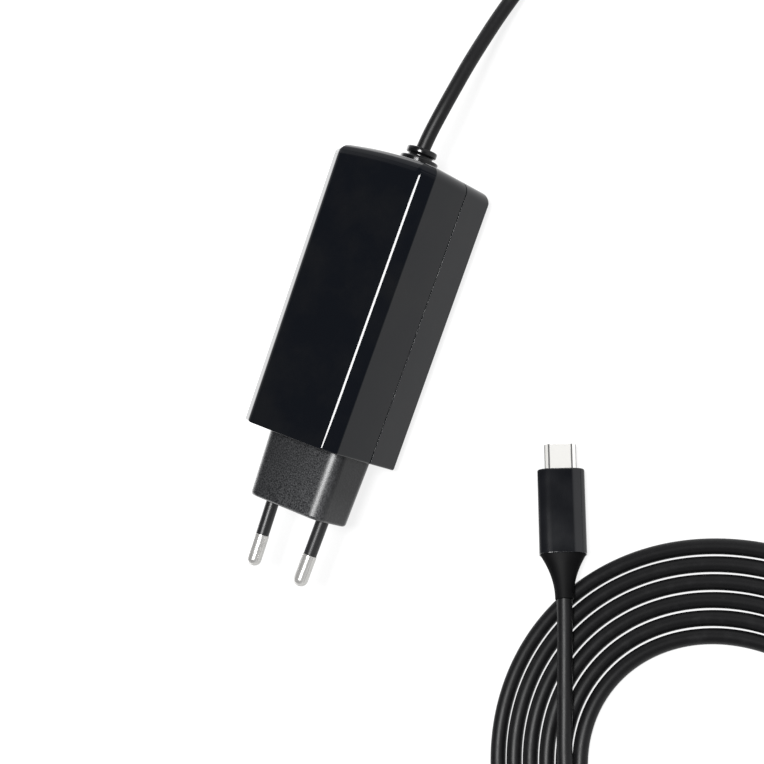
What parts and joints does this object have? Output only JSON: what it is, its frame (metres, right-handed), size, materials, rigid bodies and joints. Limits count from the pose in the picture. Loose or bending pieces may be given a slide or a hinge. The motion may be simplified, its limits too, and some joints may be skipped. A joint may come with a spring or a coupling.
{
  "type": "usb wall charger",
  "caption": "Glossy bevelled mains charger on a round-pin plug neck, with a captive lead that lies in a flat coil and ends in a small reversible plug.",
  "frame": {"origin": "middle of the bottom of the charger's bounding box, plug neck and gland included, lead and lead plug left out; the charger lies on its back face", "axes": "+Z out of the front face (up), +Y along the charger from the plug pins to the lead, +X to the right seen from the front with the lead end up"},
  "size_m": [0.2252, 0.286, 0.034],
  "materials": {
    "case_gloss": "high gloss black, polished",
    "neck_matte": "fine spark-eroded texture, charcoal",
    "pin_nickel": "polished nickel plate",
    "sleeve_black": "satin moulded",
    "gland_black": "satin",
    "wire_insulation": "smooth",
    "circuit_board": "solder resist",
    "component_black": "moulded",
    "film_capacitor": "smooth",
    "ceramic_capacitor": "dipped",
    "ferrite": "ground",
    "copper_wire": "enamelled copper",
    "winding_tape": "film tape",
    "capacitor_sleeve": "shrink sleeve",
    "capacitor_can": "drawn",
    "bobbin_plastic": "moulded",
    "component_white": "moulded",
    "heat_spreader": "rolled",
    "thermal_pad": "soft",
    "insulating_sheet": "smooth sheet",
    "lead_rubber": "matte jacket",
    "tongue_metal": "bright plated",
    "contact_gold": "gold plated",
    "grip_satin": "satin black",
    "relief_rubber": "matte"
  },
  "bodies": {
    "charger": {"front_cover": "case_gloss", "rear_cover": "case_gloss", "plug_neck": "neck_matte", "left_pin": "pin_nickel", "right_pin": "pin_nickel", "left_pin_sleeve": "sleeve_black", "right_pin_sleeve": "sleeve_black", "left_mains_wire": "wire_insulation", "right_mains_wire": "wire_insulation", "lead_gland": "gland_black", "main_board": "circuit_board", "fuse": "component_black", "mains_filter_capacitor": "film_capacitor", "choke_core": "ferrite", "choke_winding": "copper_wire", "bridge_rectifier": "component_black", "left_bulk_capacitor": "capacitor_sleeve", "right_bulk_capacitor": "capacitor_sleeve", "safety_capacitor": "ceramic_capacitor", "transformer_core": "ferrite", "transformer_bobbin": "bobbin_plastic", "transformer_winding": "winding_tape", "output_board": "circuit_board", "left_output_capacitor": "capacitor_can", "right_output_capacitor": "capacitor_can", "optocoupler": "component_white", "power_switch": "component_black", "control_chip": "component_black", "rear_heat_spreader": "heat_spreader", "rear_thermal_pad": "thermal_pad", "front_heat_spreader": "heat_spreader", "front_thermal_pad": "thermal_pad", "insulating_sheet": "insulating_sheet", "left_output_wire": "wire_insulation", "right_output_wire": "wire_insulation", "lead_run": "lead_rubber", "lead_coil": "lead_rubber", "lead_tail": "lead_rubber", "tongue_shell": "tongue_metal", "contact_carrier": "component_black", "plug_contacts": "contact_gold", "plug_grip": "grip_satin", "plug_board": "circuit_board", "plug_relief": "relief_rubber"}
  },
  "joints": []
}
